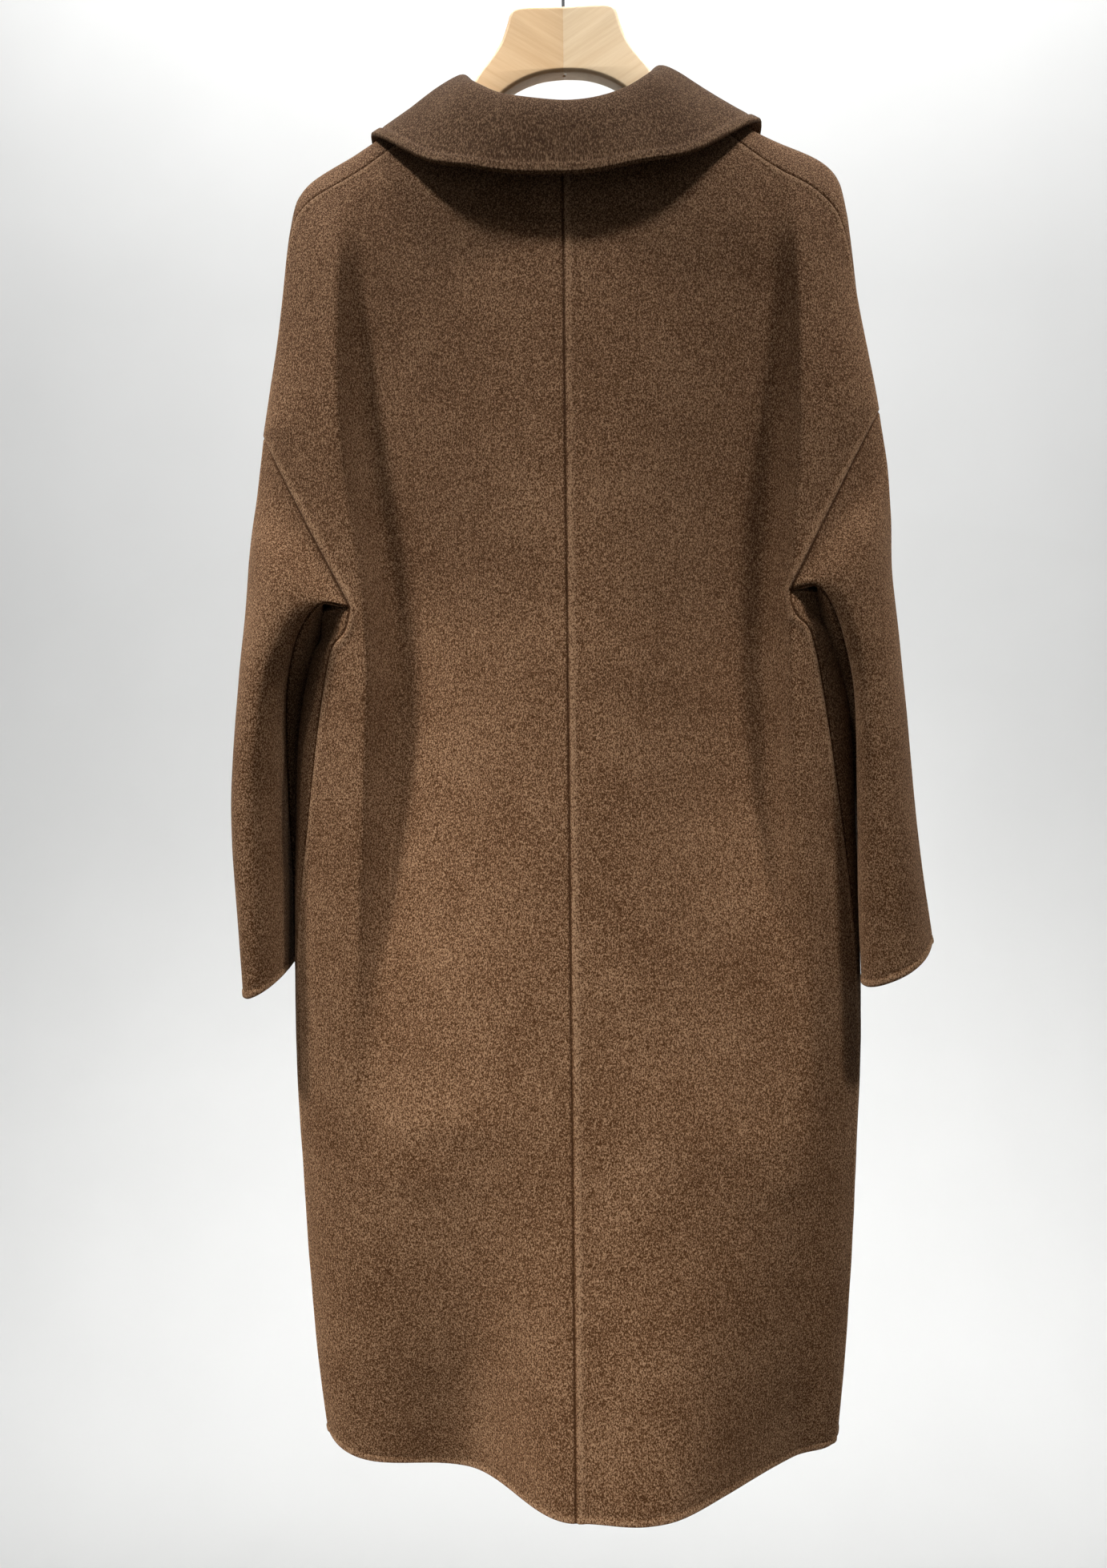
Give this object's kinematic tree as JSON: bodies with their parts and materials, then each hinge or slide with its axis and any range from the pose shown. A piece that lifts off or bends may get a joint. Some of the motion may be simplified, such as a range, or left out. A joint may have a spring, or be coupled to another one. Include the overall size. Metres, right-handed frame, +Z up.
{
  "type": "long coat on a hanger",
  "caption": "Long wool coat with dropped two-piece sleeves, a wide turn-down collar and a seamed back, hanging on a two-piece wooden hanger with a bent wire hook.",
  "frame": {"origin": "the seat of the hanger's hook, the inner top of its loop, where a rail carries it", "axes": "+Z up, +X to the wearer's right, +Y to the coat's front; the back that the picture shows faces -Y"},
  "size_m": [0.5583, 0.2315, 1.2313],
  "materials": {
    "wool": "brushed melange double-faced wool",
    "collar_wool": "brushed melange double-faced wool",
    "beech": "pale beech, satin varnish",
    "steel": "bright plated wire"
  },
  "bodies": {
    "root": {"back_left": "wool", "back_right": "wool", "front_left": "wool", "front_right": "wool", "sleeve_left_back": "wool", "sleeve_left_front": "wool", "sleeve_right_back": "wool", "sleeve_right_front": "wool", "collar": "collar_wool", "hanger_left": "beech", "hanger_right": "beech", "hanger_hook": "steel"}
  },
  "joints": []
}
